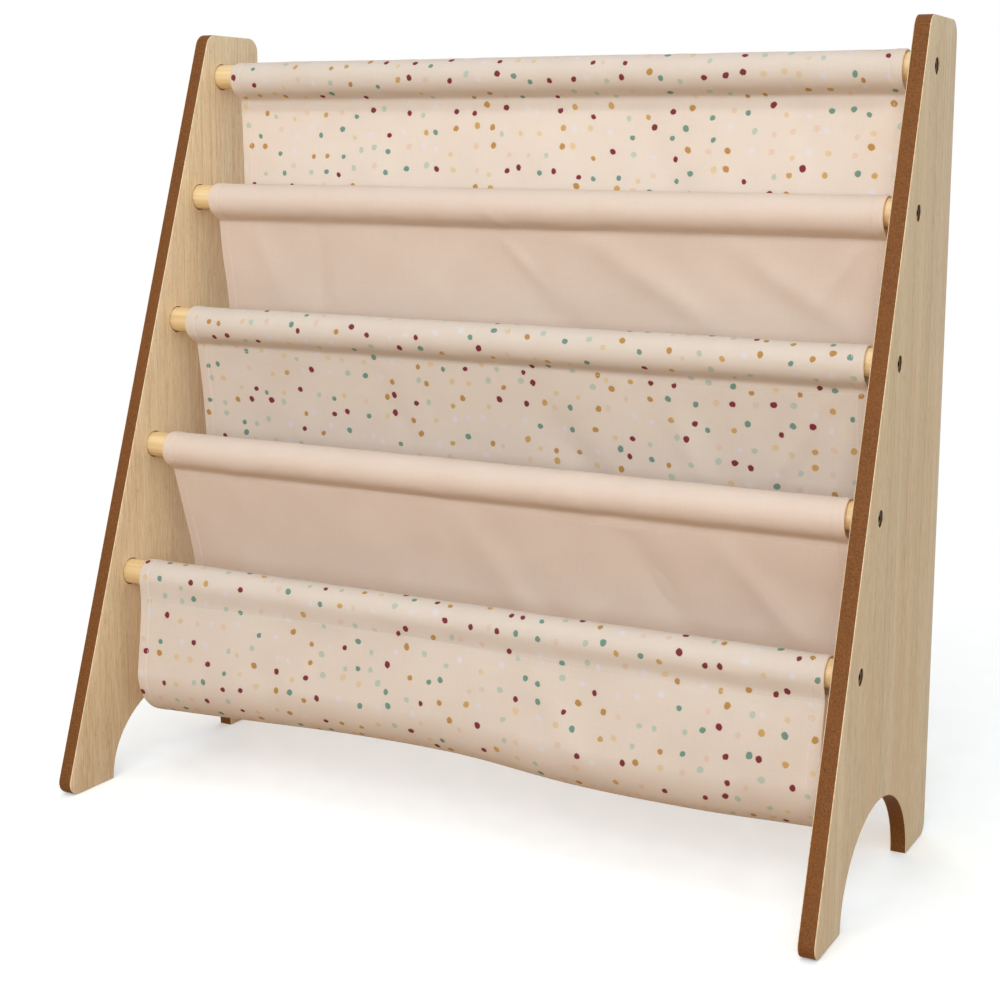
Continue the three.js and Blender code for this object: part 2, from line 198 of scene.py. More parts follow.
# Side hems: the thread's groove, gathers beside it, the doubled cloth and the edge's sway
HEM_GROOVE_DEPTH = 0.2 * MM
HEM_GROOVE_WIDTH = 0.7 * MM
HEM_RIDGE = 0.32 * MM
HEM_RIDGE_EDGES = (HEM_STITCH_INSET - 0.6 * MM, HEM_STITCH_INSET + 0.4 * MM)
GATHER_HEIGHT = 0.16 * MM
GATHER_REACH = 3.5 * MM
GATHER_TURNS = (170, 3)
GATHER_SEED = 2
SIDE_SWAY = 0.9 * MM
SWAY_REACH = 60 * MM
SWAY_TURNS = 22
SWAY_SEED_STEP = 5.5
SWAY_LEVELS = (3.3, 8.8)

# Fineness of the cloths
TROUGH_STEPS = 24
WALL_STEPS = 40
CASING_STEPS = 48
PATH_STEP = 1 * MM
SMOOTHING_PASSES = 3
ROWS = 170
BEND_WEIGHT = 2.2
BEND_RADIUS = 14 * MM
WEIGHT_SPAN = 9
COLUMN_STEP = 4.5 * MM
EDGE_COLUMNS = [0, 0.5, 1.2, 2.2, 3.6, 5.2, 6.6, 7.4, 8, 8.6, 9.4, 10, 10.6, 12]
EDGE_ANGLES = [45, 90, 135]

# Colour ramps: places from 0 to 1 and colours
VENEER_TONES = [(0.3, "DFBC8F"), (0.5, "E9C69A"), (0.7, "F3D3AA")]
BOARD_TONES = [(0.28, "452306"), (0.5, "724110"), (0.74, "92591F")]
PINE_TONES = [(0.3, "D8B279"), (0.5, "E5C38B"), (0.68, "EDD09C"), (0.82, "D4AA6D")]
DOT_INKS = [
    (0.0, "8A2230"), (0.16, "C9964A"), (0.27, "D8AC60"), (0.33, "7A9E8A"),
    (0.46, "C9D2BC"), (0.61, "ECD2A4"), (0.73, "EED4BA"), (0.84, "EFE6E2"),
]

# Tints: colour, the values where it starts and where it is full, and its share there
VENEER_STREAK = ("E7B37E", 0.52, 0.75, 0.4)
VENEER_LINE = ("BE9668", 0.44, 0.7, 0.42)
# Pale fibres of the grain, whose near-white tint is also painted sheen: fine light streaks that
# stand in for the veneer's lustre
VENEER_FIBRE_AND_SHEEN = ("FFEFC0", 0.4, 0.66, 0.5)
PORE_EDGES = (0.61, 0.72)
VENEER_PORE = ("A07D53", *PORE_EDGES, 0.5)
BOARD_CLOUD = ("7F4814", 0.3, 0.75, 0.35)
BOARD_FLECK = ("B07330", 0.14, 0.05, 0.3)
PINE_FIBRE = ("CE9D59", 0.45, 0.75, 0.3)
METAL_DULL = ("4A443C", 0.4, 0.75, 0.4)
THREAD_SHADE = ("C9AE95", 0.4, 0.7, 0.5)
WEAVE_SHADE = (0.66, 0.28, 0.38)
MOTTLE_SHADE = (0.35, 0.7, 0.2)
FLOOR_SHADE = ("FAF5E9", 0.3, 0.7, 1.0)

# Noises: turns per metre along X, Y and Z, or on a cloth across, along and through it; then
# detail and, where they are given, roughness and distortion
VENEER_DRIFT = ((9, 7, 1.1), 2.0)
VENEER_BANDS = ((7, 38, 0.8), 3.0)
VENEER_STREAKS = ((5, 60, 3.2), 2.0)
VENEER_LINES = ((14, 560, 5), 3.0, 0.65)
VENEER_FIBRES_AND_SHEEN = ((300, 1500, 55), 3.0, 0.7)
VENEER_PORES = ((250, 1500, 150), 2.0, 0.55)
BOARD_CHIPS = ((900, 900, 900), 4.0, 0.7)
BOARD_CLOUDS = ((22, 22, 22), 3.0)
PINE_RINGS = ((5, 170, 170), 3.0, 0.55, 0.4)
PINE_FIBRES = ((30, 1600, 1600), 3.0, 0.6)
METAL_BRUSHING = ((4000, 900, 900), 3.0)
METAL_DULLING = ((700, 700, 700), 3.0)
THREAD_TWISTS = ((2600, 2600, 2600), 2.0)
SLUBS_ALONG = ((1900, 60, 0), 2.0)
SLUBS_ACROSS = ((60, 1900, 0), 2.0)
MOTTLING = ((26, 26, 0), 3.0)
DOT_WOBBLES = ((420, 420, 0), 1.0)
FLOOR_GRAIN = ((40, 40, 40), 3.0)

# Wood, metal and thread
VENEER_SWAY = 0.03
FIBRE_HEIGHT = 0.6
PORE_HEIGHT = -0.8
FLECK_CELLS = 620
BOARD_ROUGHNESS = 0.62
VENEER_ROUGHNESS = 0.44
LINE_ROUGHNESS = 0.16
DULL_ROUGHNESS = 0.2
BOLT_METAL = ("4E4B46", 0.2)
INSERT_METAL = ("C9B271", 0.3)
CREAM_THREAD = "EFE3D4"
PEACH_THREAD = "EBD3BF"

# Cloth: the colours of its threads and of the shade between them, its weave, and its dots
PLAIN_COLOURS = ("F5E2CC", "EDD3BA")
PRINTED_COLOURS = ("EFDEC9", "E2CBB3")
THREAD_SPACING = 0.9 * MM
WEAVE_TONE = 0.12
WEAVE_HEIGHT = 0.5
SLUB_HEIGHT = 1.6
SEE_THROUGH = 0.33
PRINT_SHIFT = 0.61
DOT_SPACING = 15.4 * MM
DOT_SCATTER = 0.64
DOT_RADIUS = 2.0 * MM
DOT_SPREAD = 0.7 * MM
DOT_WOBBLE = 1.25 * MM
DOT_EDGE = 0.25 * MM
DOT_STRETCH = 1.15
REVERSE_SHOW = 0.3
INK_COVER = 0.96
PRINTED_GLOW = 0.6

# Floor and room
FLOOR_DROP = 0.2 * MM
FLOOR_HALF = 6.0
FLOOR_PALE = "FFFAEF"
FLOOR_LIFT = 0.22
FLOOR_BOUNCE = "AE8C68"
FLOOR_FADE = (0.3, 1.25)
ROOM_LIGHT = "E8F2FF"
ROOM_STRENGTH = 0.49

# Lamps: name, place, target, side, power in watts and colour
LAMPS = [
    ("key", (0.5, -2.0, 1.1), (0, 0, 0.33), 1.7, 39, "E6F0FF"),
    ("top", (0.1, -0.7, 1.9), (0, 0, 0.3), 1.5, 8, "E2EEFF"),
    ("fill", (-0.9, -1.8, 0.8), (0, 0, 0.25), 1.2, 4, "F4F8FF"),
    ("right_fill", (2.0, -0.5, 0.9), (0, 0, 0.3), 1.2, 6, "D0EEF6"),
    ("back_glow", (-0.5, 1.6, 0.8), (0, 0, 0.25), 1.4, 13, "EEF4FF"),
]

# Camera: angles in radians, lens and sensor in millimetres
CAMERA_PLACE = Vector((0.6363, -1.1709, 0.5037))
CAMERA_YAW = 0.4893
CAMERA_PITCH = -0.1353
CAMERA_ROLL = 0.0085
CAMERA_LENS = 64.61
CAMERA_SHIFT = -0.10
SENSOR_WIDTH = 36

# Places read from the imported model
COUNT = 5
LOWEST = COUNT - 1
panel_low, panel_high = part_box("side_panel_right")
INNER_X = panel_low.x
OUTER_X = panel_high.x
RACK_HEIGHT = panel_high.z
BACK_Y = panel_high.y
FRONT_Y = -BACK_Y


def dowel_axis(index):
    low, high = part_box(f"dowel_{index + 1}")
    return np.array([(low.y + high.y) / 2, (low.z + high.z) / 2])


AXES = [dowel_axis(index) for index in range(COUNT)]
STEP_BACK = (AXES[0][0] - AXES[LOWEST][0]) / LOWEST
STEP_DOWN = (AXES[0][1] - AXES[LOWEST][1]) / LOWEST


def link(name, data):
    piece = bpy.data.objects.new(name, data)
    bpy.context.scene.collection.objects.link(piece)
    return piece


def shade_smooth(mesh, kind):
    mesh.shade_smooth()
    mesh.set_sharp_from_angle(angle=math.radians(SHARP_ANGLES[kind]))


def set_material(piece, material):
    piece.data.materials.clear()
    piece.data.materials.append(material)


def dress(piece, slot, material, *nodes):
    """The piece rides on the rack, stands for the named nodes and takes a material."""
    set_material(piece, material)
    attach(piece, "root")
    if nodes:
        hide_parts(*nodes)


# Materials


def paint(code):
    """A colour written as RRGGBB, as the linear values that shaders take."""
    values = [int(code[k:k + 2], 16) / 255 for k in (0, 2, 4)]
    linear = [v / 12.92 if v <= 0.04045 else ((v + 0.055) / 1.055) ** 2.4 for v in values]
    return (*linear, 1.0)


class Shader:
    """The node tree of a material or a world, built one node at a time."""

    def __init__(self, owner):
        self.owner = owner
        owner.use_nodes = True
        self.tree = owner.node_tree
        self.tree.nodes.clear()

    def put(self, socket, value):
        if isinstance(value, bpy.types.NodeSocket):
            self.tree.links.new(value, socket)
        else:
            socket.default_value = value

    def add(self, kind, inputs=None, **settings):
        node = self.tree.nodes.new("ShaderNode" + kind)
        for name, value in settings.items():
            setattr(node, name, value)
        for name, value in (inputs or {}).items():
            self.put(node.inputs[name], value)
        return node

    def place(self):
        """Where the shaded point is, in the rack's frame."""
        return self.add("TexCoord").outputs["Object"]

    def cloth_place(self):
        """The point's place across and along its cloth, and its side: 0 on the face, 1 behind."""
        return self.add("Attribute", attribute_name="cloth_place").outputs["Vector"]

    def math(self, operation, *values):
        return self.add("Math", dict(enumerate(values)), operation=operation).outputs[0]

    def plus(self, first, second):
        return self.math("ADD", first, second)

    def minus(self, first, second):
        return self.math("SUBTRACT", first, second)

    def times(self, first, second):
        return self.math("MULTIPLY", first, second)

    def vector(self, operation, *values):
        node = self.add("VectorMath", dict(enumerate(values)), operation=operation)
        return node.outputs[1 if operation == "LENGTH" else 0]

    def split(self, vector):
        return self.add("SeparateXYZ", {"Vector": vector}).outputs

    def join(self, x, y, z):
        return self.add("CombineXYZ", {"X": x, "Y": y, "Z": z}).outputs[0]

    def noise(self, vector, turns, detail, roughness=0.5, distortion=0.0):
        inputs = {
            "Vector": self.vector("MULTIPLY", vector, turns), "Scale": 1.0,
            "Detail": detail, "Roughness": roughness, "Distortion": distortion,
        }
        return self.add("TexNoise", inputs).outputs[0]

    def steps(self, value, low, high, to_low=0.0, to_high=1.0):
        """A smooth step: to_low where the value is at low, to_high where it is at high."""
        inputs = {
            "Value": value, "From Min": low, "From Max": high,
            "To Min": to_low, "To Max": to_high,
        }
        return self.add("MapRange", inputs, interpolation_type="SMOOTHSTEP").outputs[0]

    def mix(self, share, first, second):
        return self.add("Mix", {0: share, 6: first, 7: second}, data_type="RGBA").outputs[2]

    def tint(self, colour, value, code, start, full, share):
        """Mixes a colour in, up to the share, as the value goes from start to full."""
        return self.mix(self.steps(value, start, full, 0.0, share), colour, paint(code))

    def ramp(self, value, stops, interpolation="LINEAR"):
        node = self.add("ValToRGB", {"Fac": value})
        band = node.color_ramp
        band.interpolation = interpolation
        while len(band.elements) < len(stops):
            band.elements.new(0.5)
        for element, (place, colour) in zip(band.elements, stops):
            element.position = place
            element.color = paint(colour)
        return node.outputs[0]

    def bump(self, height, distance, strength):
        inputs = {"Height": height, "Distance": distance, "Strength": strength}
        return self.add("Bump", inputs).outputs[0]

    def seen(self):
        """1 for the rays that look at a surface, and 0 for those that only carry its light."""
        rays = self.add("LightPath").outputs
        looked = self.math("MAXIMUM", rays["Is Camera Ray"], rays["Is Glossy Ray"])
        return self.math("MAXIMUM", looked, rays["Is Transmission Ray"])

    def surface(self, kind, **inputs):
        """A shader node, whose sockets' names are written with underscores."""
        named = {name.replace("_", " "): value for name, value in inputs.items()}
        return self.add(kind, named).outputs[0]

    def blend(self, share, first, second):
        return self.add("MixShader", {0: share, 1: first, 2: second}).outputs[0]

    def finish(self, surface, kind="Material"):
        self.add("Output" + kind, {"Surface": surface})
        return self.owner


def new_material(name):
    return Shader(bpy.data.materials.new(name))


def veneer_layer(s, place):
    """Tone bands, reddish streaks, thin lines, pale fibres and short dark pores, all along Z; the
    fibres' pale tint is partly painted sheen.
    """
    x, y, z = s.split(place)
    drift = s.noise(place, *VENEER_DRIFT)
    swayed = s.join(x, s.plus(y, s.times(drift, VENEER_SWAY)), z)
    lines = s.noise(swayed, *VENEER_LINES)
    fibres = s.noise(place, *VENEER_FIBRES_AND_SHEEN)
    pores = s.noise(place, *VENEER_PORES)
    colour = s.ramp(s.noise(swayed, *VENEER_BANDS), VENEER_TONES)
    colour = s.tint(colour, s.noise(swayed, *VENEER_STREAKS), *VENEER_STREAK)
    colour = s.tint(colour, lines, *VENEER_LINE)
    # Painted sheen: the fibres' pale tint lightens the veneer in fine streaks, as its lustre would;
    # the same noise gives the fibres' real bumps
    colour = s.tint(colour, fibres, *VENEER_FIBRE_AND_SHEEN)
    colour = s.tint(colour, pores, *VENEER_PORE)
    height = s.plus(s.times(fibres, FIBRE_HEIGHT), s.steps(pores, *PORE_EDGES, 0.0, PORE_HEIGHT))
    return colour, height, lines


def board_core(s, place):
    """Stained brown, with clouded tones and fine chips of wood showing."""
    chips = s.noise(place, *BOARD_CHIPS)
    clouds = s.noise(place, *BOARD_CLOUDS)
    cells = s.add("TexVoronoi", {"Vector": place, "Scale": FLECK_CELLS, "Randomness": 1.0})
    colour = s.tint(s.ramp(chips, BOARD_TONES), clouds, *BOARD_CLOUD)
    colour = s.tint(colour, cells.outputs["Distance"], *BOARD_FLECK)
    return colour, chips


def veneered_board():
    """Pale straight-grained veneer on both faces of a brown board."""
    s = new_material("veneered_board")
    place = s.place()
    outwards = s.math("ABSOLUTE", s.split(place)[0])
    off_middle = s.math("ABSOLUTE", s.minus(outwards, (INNER_X + OUTER_X) / 2))
    joint = (OUTER_X - INNER_X) / 2 - VENEER
    is_face = s.steps(off_middle, joint - VENEER_EDGE, joint + VENEER_EDGE)
    veneer, veneer_height, lines = veneer_layer(s, place)
    core, core_height = board_core(s, place)
    relief = s.mix(is_face, core_height, veneer_height)
    rough = s.steps(is_face, 0.0, 1.0, BOARD_ROUGHNESS, VENEER_ROUGHNESS)
    return s.finish(s.surface(
        "BsdfPrincipled", Base_Color=s.mix(is_face, core, veneer), Specular_IOR_Level=0.28,
        Roughness=s.plus(s.times(lines, LINE_ROUGHNESS), rough),
        Normal=s.bump(relief, distance=0.12 * MM, strength=0.5),
    ))


def lacquered_pine():
    """Pale yellow dowel wood with fine grain along X."""
    s = new_material("lacquered_pine")
    place = s.place()
    rings = s.noise(place, *PINE_RINGS)
    fibres = s.noise(place, *PINE_FIBRES)
    return s.finish(s.surface(
        "BsdfPrincipled", Base_Color=s.tint(s.ramp(rings, PINE_TONES), fibres, *PINE_FIBRE),
        Roughness=0.46, Normal=s.bump(fibres, distance=0.05 * MM, strength=0.5),
    ))


def plated_metal(name, code, rough):
    """Plated steel with faint brushing and dull spots."""
    s = new_material(name)
    place = s.place()
    brushing = s.noise(place, *METAL_BRUSHING)
    dulling = s.noise(place, *METAL_DULLING)
    return s.finish(s.surface(
        "BsdfPrincipled", Base_Color=s.tint(paint(code), dulling, *METAL_DULL), Metallic=1.0,
        Roughness=s.plus(s.times(dulling, DULL_ROUGHNESS), rough),
        Normal=s.bump(brushing, distance=0.03 * MM, strength=0.4),
    ))


def woven(s, place, base, shade):
    """Threads, slubs and soft mottling of a plain weave; gives its colour and normal."""
    x, along, _ = s.split(place)
    turns = 2 * math.pi / THREAD_SPACING
    warp = s.math("SINE", s.times(x, turns))
    weft = s.math("SINE", s.times(along, turns))
    over = s.times(warp, weft)
    slubs = s.plus(s.noise(place, *SLUBS_ALONG), s.noise(place, *SLUBS_ACROSS))
    slubs = s.times(slubs, 0.5)
    threads = s.plus(s.times(over, WEAVE_TONE), slubs)
    colour = s.tint(paint(base), threads, shade, *WEAVE_SHADE)
    colour = s.tint(colour, s.noise(place, *MOTTLING), shade, *MOTTLE_SHADE)
    height = s.plus(s.times(over, WEAVE_HEIGHT), s.times(slubs, SLUB_HEIGHT))
    return colour, s.bump(height, distance=0.16 * MM, strength=0.5)


def finish_cloth(s, colour, glow, normal):
    """A matt woven surface that lets some light through, which takes the glow's colour."""
    face = s.surface(
        "BsdfPrincipled", Base_Color=colour, Roughness=0.86, Specular_IOR_Level=0.15,
        Sheen_Weight=0.05, Sheen_Roughness=0.5, Sheen_Tint=paint("FFF8F0"), Normal=normal,
    )
    through = s.surface("BsdfTranslucent", Color=glow, Normal=normal)
    return s.finish(s.blend(SEE_THROUGH, face, through))


def plain_cloth():
    s = new_material("plain_cloth")
    colour, normal = woven(s, s.cloth_place(), *PLAIN_COLOURS)
    return finish_cloth(s, colour, colour, normal)


def dot_shape(s, flat, middle, turned, sized):
    """1 inside a small uneven oval round the middle of its cell, and 0 outside it."""
    off_x, off_y, _ = s.split(s.vector("SUBTRACT", flat, middle))
    turn = s.times(turned, math.pi)
    cosine = s.math("COSINE", turn)
    sine = s.math("SINE", turn)
    across = s.plus(s.times(off_x, cosine), s.times(off_y, sine))
    down = s.minus(s.times(off_y, cosine), s.times(off_x, sine))
    reach = s.vector("LENGTH", s.join(s.times(across, DOT_STRETCH), down, 0.0))
    wobble = s.times(s.minus(s.noise(flat, *DOT_WOBBLES), 0.5), DOT_WOBBLE)
    size = s.plus(s.times(sized, DOT_SPREAD), DOT_RADIUS)
    return s.steps(s.minus(s.plus(size, wobble), reach), -DOT_EDGE, DOT_EDGE)


def dotted_cloth():
    """Cream cloth with a scatter of small uneven dots, fainter on its reverse."""
    s = new_material("dotted_cloth")
    place = s.cloth_place()
    x, along, side = s.split(place)
    colour, normal = woven(s, place, *PRINTED_COLOURS)
    flat = s.join(x, along, 0.0)
    inputs = {"Vector": flat, "Scale": 1 / DOT_SPACING, "Randomness": DOT_SCATTER}
    cell = s.add("TexVoronoi", inputs, voronoi_dimensions="2D").outputs
    turned, sized, inked = s.add("SeparateColor", {"Color": cell["Color"]}).outputs
    is_dot = dot_shape(s, flat, cell["Position"], turned, sized)
    ink = s.ramp(inked, DOT_INKS, "CONSTANT")
    shown = s.steps(side, 0.0, 1.0, 1.0, REVERSE_SHOW)
    printed = s.times(s.times(is_dot, shown), INK_COVER)
    glow = s.mix(printed, s.mix(PRINTED_GLOW, colour, WHITE), ink)
    return finish_cloth(s, s.mix(printed, colour, ink), glow, normal)


def thread(name, code):
    """Twisted sewing thread."""
    s = new_material(name)
    twist = s.noise(s.place(), *THREAD_TWISTS)
    return s.finish(s.surface(
        "BsdfPrincipled", Base_Color=s.tint(paint(code), twist, *THREAD_SHADE),
        Roughness=0.7, Normal=s.bump(twist, distance=0.05 * MM, strength=0.6),
    ))


# Turned and drilled pieces


def lathe(profile, sides):
    """A bmesh turned about X from (x, radius) points, the first and last of radius zero."""
    bm = bmesh.new()
    rings = []
    for x, radius in profile:
        angles = [2 * math.pi * k / sides for k in range(sides if radius else 1)]
        rings.append([
            bm.verts.new((x, radius * math.cos(a), radius * math.sin(a))) for a in angles
        ])
    for one, two in zip(rings, rings[1:]):
        for k in range(sides):
            corners = [
                one[k % len(one)], two[k % len(two)],
                two[(k + 1) % sides % len(two)], one[(k + 1) % sides % len(one)],
            ]
            bm.faces.new(list(dict.fromkeys(corners)))
    bmesh.ops.recalc_face_normals(bm, faces=bm.faces)
    return bm


def to_mesh(name, bm):
    mesh = bpy.data.meshes.new(name)
    bm.to_mesh(mesh)
    bm.free()
    return mesh


def point_mesh(name, points, faces):
    mesh = bpy.data.meshes.new(name)
    mesh.from_pydata([tuple(p) for p in points], [], faces)
    mesh.validate()
    return mesh


def subtract(piece, cutter_mesh):
    """Cuts the cutter's shape out of the piece's own mesh."""
    cutter = link("cutter", cutter_mesh)
    cut = piece.modifiers.new("cut", "BOOLEAN")
    cut.operation = "DIFFERENCE"
    cut.solver = "EXACT"
    cut.object = cutter
    graph = bpy.context.evaluated_depsgraph_get()
    made = bpy.data.meshes.new_from_object(piece.evaluated_get(graph))
    piece.modifiers.clear()
    piece.data = made
    bpy.data.objects.remove(cutter)


def rounded(corner, before, after, radius):
    """Points of an arc that rounds a corner, from the side of before to the side of after."""
    to_before = (before - corner).normalized()
    to_after = (after - corner).normalized()
    half = to_before.angle(to_after) / 2
    centre = corner + (to_before + to_after).normalized() * (radius / math.sin(half))
    start = corner + to_before * (radius / math.tan(half)) - centre
    turn = math.pi - 2 * half
    way = 1 if to_before.cross(to_after) < 0 else -1
    return [
        centre + Matrix.Rotation(way * turn * k / FILLET_STEPS, 2) @ start
        for k in range(FILLET_STEPS + 1)
    ]


def panel_outline():
    """The side panel's outline as points of the Y-Z plane."""
    toe = (math.pi / 2 - FRONT_SLANT) / 2
    foot_y = FRONT_Y + FOOT_RADIUS - FOOT_RADIUS / math.tan(toe)
    top_y = foot_y + RACK_HEIGHT * math.tan(FRONT_SLANT)
    corners = [
        (Vector((foot_y, 0)), FOOT_RADIUS),
        (Vector((top_y, RACK_HEIGHT)), TOP_RADIUS),
        (Vector((BACK_Y, RACK_HEIGHT)), TOP_RADIUS),
        (Vector((BACK_Y, 0)), FOOT_RADIUS),
    ]
    outline = []
    for k, (corner, radius) in enumerate(corners):
        before = corners[k - 1][0]
        after = corners[(k + 1) % len(corners)][0]
        outline += rounded(corner, before, after, radius)
    rear = BACK_Y - REAR_FOOT_LENGTH
    front = FRONT_Y + FRONT_FOOT_LENGTH
    middle = (rear + front) / 2
    half = (rear - front) / 2
    for k in range(ARCH_STEPS + 1):
        angle = math.pi * k / ARCH_STEPS
        outline.append(Vector((middle + half * math.cos(angle), ARCH_HEIGHT * math.sin(angle))))
    return outline


def board_mesh(name, way):
    """The panel's outline as a board with eased arrises, not drilled yet."""
    bm = bmesh.new()
    face = bm.faces.new([bm.verts.new((way * INNER_X, p.x, p.y)) for p in panel_outline()])
    made = bmesh.ops.extrude_face_region(bm, geom=[face])["geom"]
    moved = [v for v in made if isinstance(v, bmesh.types.BMVert)]
    bmesh.ops.translate(bm, verts=moved, vec=(way * (OUTER_X - INNER_X), 0, 0))
    bmesh.ops.recalc_face_normals(bm, faces=bm.faces)
    rim = [e for e in bm.edges if abs(e.verts[0].co.x - e.verts[1].co.x) < ARRIS]
    bmesh.ops.bevel(
        bm, geom=rim, offset=ARRIS, offset_type="OFFSET", segments=ARRIS_STEPS,
        profile=0.5, affect="EDGES", clamp_overlap=True,
    )
    return to_mesh(name, bm)


def panel_cutter(way, axis):
    """A dowel's seat, a shank's hole and a bolt's counterbore as one turned shape."""
    inside = INNER_X - CUT_OVERRUN
    seat_end = INNER_X + SEAT_DEPTH
    counterbore_start = OUTER_X - COUNTERBORE_DEPTH
    outside = OUTER_X + CUT_OVERRUN
    profile = [
        (inside, 0), (inside, SEAT_RADIUS),
        (seat_end, SEAT_RADIUS), (seat_end, SHANK_HOLE_RADIUS),
        (counterbore_start, SHANK_HOLE_RADIUS), (counterbore_start, COUNTERBORE_RADIUS),
        (outside, COUNTERBORE_RADIUS), (outside, 0),
    ]
    bm = lathe([(way * x, radius) for x, radius in profile], ROUND_SIDES)
    bmesh.ops.translate(bm, verts=bm.verts, vec=(0, axis[0], axis[1]))
    return to_mesh("cutter", bm)


def add_panel(side, way, material):
    """One side panel; way is 1 on the right and -1 on the left."""
    name = f"panel_{side}"
    piece = link(name, board_mesh(name, way))
    for axis in AXES:
        subtract(piece, panel_cutter(way, axis))
    shade_smooth(piece.data, "panel")
    dress(piece, "panel_board", material, f"side_panel_{side}")


def add_dowel(index, material):
    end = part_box(f"dowel_{index + 1}")[1].x
    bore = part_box(f"insert_right_{index + 1}")[0].x - FIT_GAP
    soft = DOWEL_CHAMFER / 4
    half = [
        (bore, 0), (bore, DOWEL_BORE_RADIUS),
        (end, DOWEL_BORE_RADIUS), (end, DOWEL_RADIUS - DOWEL_CHAMFER - soft),
        (end - soft, DOWEL_RADIUS - DOWEL_CHAMFER),
        (end - DOWEL_CHAMFER, DOWEL_RADIUS - soft),
        (end - DOWEL_CHAMFER - soft, DOWEL_RADIUS),
    ]
    bm = lathe(half + [(-x, radius) for x, radius in reversed(half)], ROUND_SIDES)
    bmesh.ops.translate(bm, verts=bm.verts, vec=(0, *AXES[index]))
    name = f"turned_dowel_{index + 1}"
    piece = link(name, to_mesh(name, bm))
    shade_smooth(piece.data, "dowel")
    dress(piece, "dowel_wood", material, f"dowel_{index + 1}")


def bolt_profile(seat):
    """Shank with thread ridges, then a head with a rounded rim, as (x, radius) points."""
    tip = seat - SHANK_LENGTH
    root = SHANK_RADIUS - THREAD_DEPTH
    profile = [(tip, 0), (tip, root)]
    x = tip + THREAD_PITCH / 2
    while x < seat - 2 * THREAD_PITCH:
        profile += [(x, root), (x + THREAD_PITCH / 2, SHANK_RADIUS)]
        x += THREAD_PITCH
    profile += [(seat - THREAD_PITCH, SHANK_RADIUS), (seat, SHANK_RADIUS), (seat, HEAD_RADIUS)]
    top = seat + HEAD_HEIGHT
    for k in range(ROUNDING_STEPS + 1):
        angle = math.pi / 2 * k / ROUNDING_STEPS
        profile.append((
            top - HEAD_ROUNDING + HEAD_ROUNDING * math.sin(angle),
            HEAD_RADIUS - HEAD_ROUNDING + HEAD_ROUNDING * math.cos(angle),
        ))
    profile.append((top, 0))
    return profile


def add_bolt(index, side, way, material):
    seat = OUTER_X - COUNTERBORE_DEPTH + FIT_GAP
    top = seat + HEAD_HEIGHT
    name = f"furniture_bolt_{side}_{index + 1}"
    piece = link(name, to_mesh(name, lathe(bolt_profile(seat), BOLT_SIDES)))
    socket = lathe([
        (top - HEX_DEPTH - HEX_RADIUS / 2, 0), (top - HEX_DEPTH, HEX_RADIUS),
        (top + CUT_OVERRUN, HEX_RADIUS), (top + CUT_OVERRUN, 0),
    ], HEX_SIDES)
    subtract(piece, to_mesh("socket", socket))
    turn = Matrix.Rotation(math.pi if way < 0 else 0, 4, "Z")
    piece.data.transform(Matrix.Translation((0, *AXES[index])) @ turn)
    shade_smooth(piece.data, "bolt")
    dress(piece, "bolt_steel", material, f"bolt_{side}_{index + 1}")


# Cloths: each is one long strip, followed from the seam at the bottom of its front layer, up to
# its dowel, round it, and down its rear layer. A section is a path of points of the Y-Z plane.


def curve_point(points, place):
    """A smooth curve through points, read at a place from 0 to 1."""
    points = np.asarray(points, float)
    last = len(points) - 1
    at = min(max(place, 0.0), 1.0) * last
    k = min(int(at), last - 1)
    t = at - k
    p0, p1 = points[max(k - 1, 0)], points[k]
    p2, p3 = points[k + 1], points[min(k + 2, last)]
    v0, v1 = (p2 - p0) / 2, (p3 - p1) / 2
    return (2 * p1 - 2 * p2 + v0 + v1) * t**3 + (3 * p2 - 3 * p1 - 2 * v0 - v1) * t**2 + v0 * t + p1


def trough_line(pocket, place, way):
    """Half of a pocket's round bottom and its seam allowance; way is 1 on the back wall's side."""
    radius = STEP_BACK * TROUGH_WIDTH_SHARES[pocket] / 2
    middle = AXES[pocket][0] + STEP_BACK * WALL_LEAN_SHARES[pocket] - radius
    rise = TROUGH_RISE * curve_point(TROUGH_RISE_SHARES[pocket], place)
    bottom = AXES[pocket + 1][1] - STEP_DOWN * TROUGH_DROP_SHARE + rise
    last = math.acos(LAYER_OFFSET / radius)
    line = []
    for k in range(TROUGH_STEPS + 1):
        angle = last * k / TROUGH_STEPS
        y = middle + way * radius * math.cos(angle)
        line.append((y, bottom + radius - radius * math.sin(angle)))
    line.append((middle + way * LAYER_OFFSET, bottom + SEAM_ALLOWANCE))
    return line


def wall_line(start, guide, end, wave):
    """A wall from start to just before its end, through the guide, with a slow wave in it."""
    line = []
    for k in range(WALL_STEPS):
        y, z = curve_point([start, guide, end], k / WALL_STEPS)
        line.append((y + wave * math.sin(math.pi * k / WALL_STEPS), z))
    return line


def stem_of(index, place):
    """Where a casing's stitching starts; on the lowest cloth it draws in most at the right."""
    y, z = AXES[index]
    if index == LOWEST:
        drawn_in = FRONT_SEAM_SETBACK * (SETBACK_LEFT_SHARE + (1 - SETBACK_LEFT_SHARE) * place)
        return np.array([y - FRONT_WALL_STANDOFF + drawn_in, z - FRONT_CASING_DROP])
    return np.array([y + STEM_SETBACK, z - STEM_DROP])


def layer_start(index, place, way):
    """Where a layer leaves the casing's stitching; way is -1 for the front layer."""
    return stem_of(index, place) + np.array([way * LAYER_OFFSET, -STITCH_BAND])


def front_layer(index, place):
    """The back wall of the pocket below; on the lowest cloth, the rack's lowest wall."""
    wave = WALL_WAVE * curve_point(WALL_WAVE_SHARES[index], place)
    start = layer_start(index, place, -1)
    if index == LOWEST:
        trough = trough_line(index - 1, place, -1)
        y, z = AXES[index]
        guide = (y - FRONT_WALL_STANDOFF - FRONT_BULGE, z - FRONT_CASING_DROP - FRONT_BULGE_DROP)
    else:
        trough = trough_line(index, place, 1)
        guide = (trough[0][0], AXES[index + 1][1])
    return wall_line(start, guide, trough[0], wave) + trough


